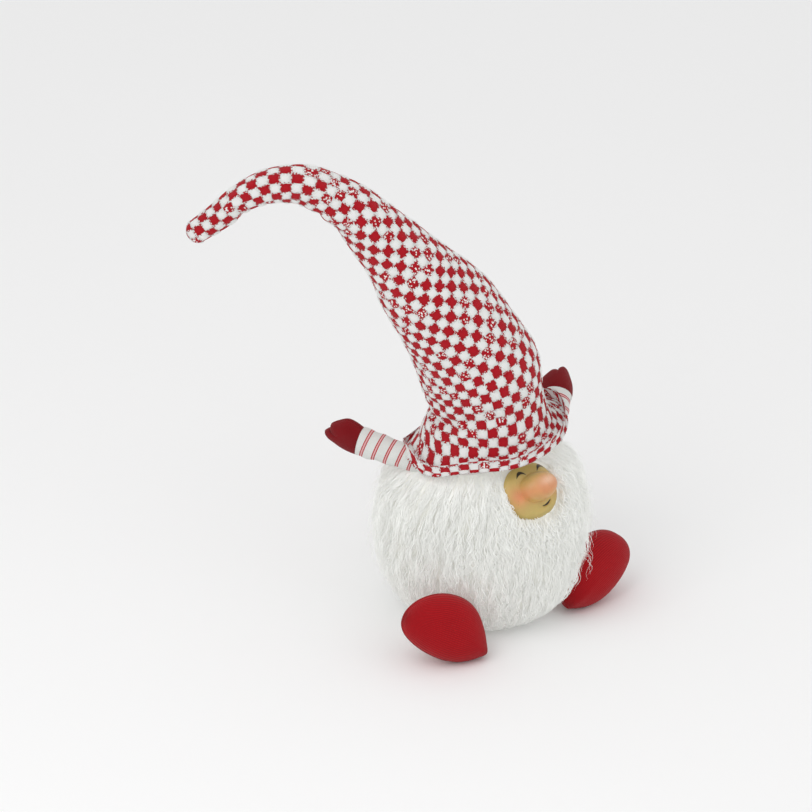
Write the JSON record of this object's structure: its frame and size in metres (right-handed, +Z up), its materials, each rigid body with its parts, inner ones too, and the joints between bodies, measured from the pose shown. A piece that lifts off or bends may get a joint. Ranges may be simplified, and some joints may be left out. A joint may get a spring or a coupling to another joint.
{
  "type": "tomte gnome figurine",
  "caption": "Sitting plush gnome: a shaggy round body on a flat weighted base, a tall bendable knit hat, a moulded face, posable mittened arms and limp booted legs.",
  "frame": {"origin": "middle of the flat base that the gnome sits on", "axes": "+Z up; the gnome faces -Y, and its right hand is at -X"},
  "size_m": [0.3766, 0.3171, 0.5078],
  "materials": {
    "white_fur": "long shaggy pile, matt with a faint sheen",
    "hat_knit": "red and white check knit",
    "striped_knit": "white knit with fine red double stripes",
    "mitten_knit": "fine dark red knit",
    "boot_rib_knit": "fine red rib knit",
    "moulded_face": "hand painted, satin",
    "white_felt": "pressed felt",
    "grey_card": "plain board",
    "fibre_filling": "loose polyester fibre",
    "pouch_cloth": "plain woven cotton",
    "sand_ballast": "dry sand",
    "armature_wire": "bare annealed wire"
  },
  "bodies": {
    "body": {"fur_cover": "white_fur", "base_felt_panel": "white_felt", "base_card_disc": "grey_card", "body_stuffing": "fibre_filling", "ballast_pouch": "pouch_cloth", "ballast_fill": "sand_ballast", "face_mask": "moulded_face", "face_backing_felt": "white_felt", "hat_skirt": "hat_knit", "hat_stuffing_base": "fibre_filling", "hat_wire_anchor": "armature_wire"},
    "hat_lower": {"hat_cover_lower": "hat_knit", "hat_stuffing_lower": "fibre_filling", "hat_wire_lower": "armature_wire"},
    "hat_mid": {"hat_cover_mid": "hat_knit", "hat_stuffing_mid": "fibre_filling", "hat_wire_mid": "armature_wire"},
    "hat_tip": {"hat_cover_tip": "hat_knit", "hat_stuffing_tip": "fibre_filling", "hat_wire_tip": "armature_wire"},
    "arm_right": {"arm_sleeve_right": "striped_knit", "arm_stuffing_right": "fibre_filling", "arm_wire_right": "armature_wire", "mitten_right": "mitten_knit", "mitten_stuffing_right": "fibre_filling"},
    "arm_left": {"arm_sleeve_left": "striped_knit", "arm_stuffing_left": "fibre_filling", "arm_wire_left": "armature_wire", "mitten_left": "mitten_knit", "mitten_stuffing_left": "fibre_filling"},
    "leg_right": {"leg_sleeve_right": "striped_knit", "leg_stuffing_right": "fibre_filling", "boot_outer_panel_right": "boot_rib_knit", "boot_inner_panel_right": "boot_rib_knit", "boot_stuffing_right": "fibre_filling"},
    "leg_left": {"leg_sleeve_left": "striped_knit", "leg_stuffing_left": "fibre_filling", "boot_outer_panel_left": "boot_rib_knit", "boot_inner_panel_left": "boot_rib_knit", "boot_stuffing_left": "fibre_filling"}
  },
  "joints": [
    {"name": "hat_lean", "type": "hinge", "parent": "body", "child": "hat_lower", "pos_m": [0.00372, -0.00335, 0.23], "axis": [-0.6691, -0.7431, 0], "range_deg": [-12, 12]},
    {"name": "hat_bend", "type": "hinge", "parent": "hat_lower", "child": "hat_mid", "pos_m": [-0.04905, 0.04416, 0.376], "axis": [-0.6691, -0.7431, 0], "range_deg": [-20, 20]},
    {"name": "hat_curl", "type": "hinge", "parent": "hat_mid", "child": "hat_tip", "pos_m": [-0.11593, 0.10438, 0.472], "axis": [-0.6691, -0.7431, 0], "range_deg": [-35, 35]},
    {"name": "shoulder_right", "type": "hinge", "parent": "body", "child": "arm_right", "pos_m": [-0.064, 0.026, 0.176], "axis": [0.8775, 0.4796, 0], "range_deg": [-15, 15]},
    {"name": "shoulder_left", "type": "hinge", "parent": "body", "child": "arm_left", "pos_m": [0.068, -0.028, 0.171], "axis": [0.6402, -0.7682, 0], "range_deg": [-15, 15]},
    {"name": "hip_right", "type": "hinge", "parent": "body", "child": "leg_right", "pos_m": [-0.052, -0.042, 0.026], "axis": [0, 0, 1], "range_deg": [-10, 30]},
    {"name": "hip_left", "type": "hinge", "parent": "body", "child": "leg_left", "pos_m": [0.052, -0.042, 0.026], "axis": [0, 0, -1], "range_deg": [-10, 30]}
  ]
}
